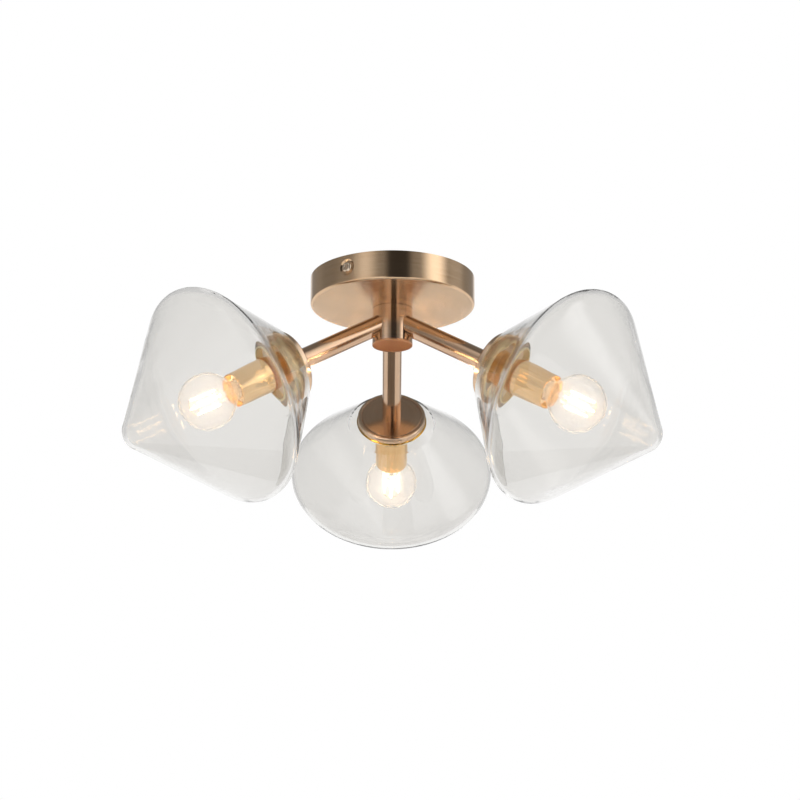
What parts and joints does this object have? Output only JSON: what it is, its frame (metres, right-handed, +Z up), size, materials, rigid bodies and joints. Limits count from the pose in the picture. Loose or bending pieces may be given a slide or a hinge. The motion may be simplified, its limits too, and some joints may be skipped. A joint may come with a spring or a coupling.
{
  "type": "flush mount ceiling light",
  "caption": "Semi-flush ceiling light: round canopy, short hub and sloping straight arms, each with a closed double-cone clear glass shade round a small globe lamp.",
  "frame": {"origin": "centre of the ceiling plane, between the two ceiling screw holes of the bracket", "axes": "+Z up through the ceiling, -Z down through the hub, +Y along the back arm, +X to the right seen from the front"},
  "size_m": [0.4052, 0.3888, 0.2016],
  "materials": {
    "plated_steel": "brushed antique copper plating",
    "bright_screw": "nickel plated",
    "zinc_steel": "zinc plated",
    "nickel_plate": "nickel plated",
    "plain_brass": "plain",
    "white_plastic": "moulded",
    "shade_glass": "clear blown glass, slightly rippled",
    "lamp_glass": "clear",
    "lamp_insulator": "fired glass",
    "filament": "glowing filament coating"
  },
  "bodies": {
    "fixture": {"ceiling_bracket": "zinc_steel", "terminal_block": "white_plastic", "earth_screw": "plain_brass", "canopy": "plated_steel", "canopy_screw_front": "bright_screw", "canopy_screw_back": "bright_screw", "hub": "plated_steel", "hub_cover": "plated_steel", "hub_nipple": "zinc_steel", "hub_washer": "zinc_steel", "hub_nut": "zinc_steel", "arm_back": "plated_steel", "arm_nipple_back": "zinc_steel", "cap_back": "plated_steel", "insulator_back": "white_plastic", "sleeve_back": "plated_steel", "lampholder_back": "white_plastic", "holder_shell_back": "nickel_plate", "holder_contact_back": "plain_brass", "arm_left": "plated_steel", "arm_nipple_left": "zinc_steel", "cap_left": "plated_steel", "insulator_left": "white_plastic", "sleeve_left": "plated_steel", "lampholder_left": "white_plastic", "holder_shell_left": "nickel_plate", "holder_contact_left": "plain_brass", "arm_right": "plated_steel", "arm_nipple_right": "zinc_steel", "cap_right": "plated_steel", "insulator_right": "white_plastic", "sleeve_right": "plated_steel", "lampholder_right": "white_plastic", "holder_shell_right": "nickel_plate", "holder_contact_right": "plain_brass"},
    "shade_back": {"shade_ring_back": "plated_steel", "shade_glass_back": "shade_glass"},
    "bulb_back": {"bulb_glass_back": "lamp_glass", "bulb_base_back": "nickel_plate", "bulb_tip_back": "lamp_insulator", "bulb_stem_back": "lamp_glass", "bulb_filament_back": "filament"},
    "shade_left": {"shade_ring_left": "plated_steel", "shade_glass_left": "shade_glass"},
    "bulb_left": {"bulb_glass_left": "lamp_glass", "bulb_base_left": "nickel_plate", "bulb_tip_left": "lamp_insulator", "bulb_stem_left": "lamp_glass", "bulb_filament_left": "filament"},
    "shade_right": {"shade_ring_right": "plated_steel", "shade_glass_right": "shade_glass"},
    "bulb_right": {"bulb_glass_right": "lamp_glass", "bulb_base_right": "nickel_plate", "bulb_tip_right": "lamp_insulator", "bulb_stem_right": "lamp_glass", "bulb_filament_right": "filament"}
  },
  "joints": [
    {"name": "shade_back_off", "type": "slide", "parent": "fixture", "child": "shade_back", "axis": [0, 0.8616, -0.5075], "range_m": [0, 0.112]},
    {"name": "bulb_back_out", "type": "slide", "parent": "fixture", "child": "bulb_back", "axis": [0, 0.8616, -0.5075], "range_m": [0, 0.034]},
    {"name": "shade_left_off", "type": "slide", "parent": "fixture", "child": "shade_left", "axis": [-0.7462, -0.4308, -0.5075], "range_m": [0, 0.112]},
    {"name": "bulb_left_out", "type": "slide", "parent": "fixture", "child": "bulb_left", "axis": [-0.7462, -0.4308, -0.5075], "range_m": [0, 0.034]},
    {"name": "shade_right_off", "type": "slide", "parent": "fixture", "child": "shade_right", "axis": [0.7462, -0.4308, -0.5075], "range_m": [0, 0.112]},
    {"name": "bulb_right_out", "type": "slide", "parent": "fixture", "child": "bulb_right", "axis": [0.7462, -0.4308, -0.5075], "range_m": [0, 0.034]}
  ]
}
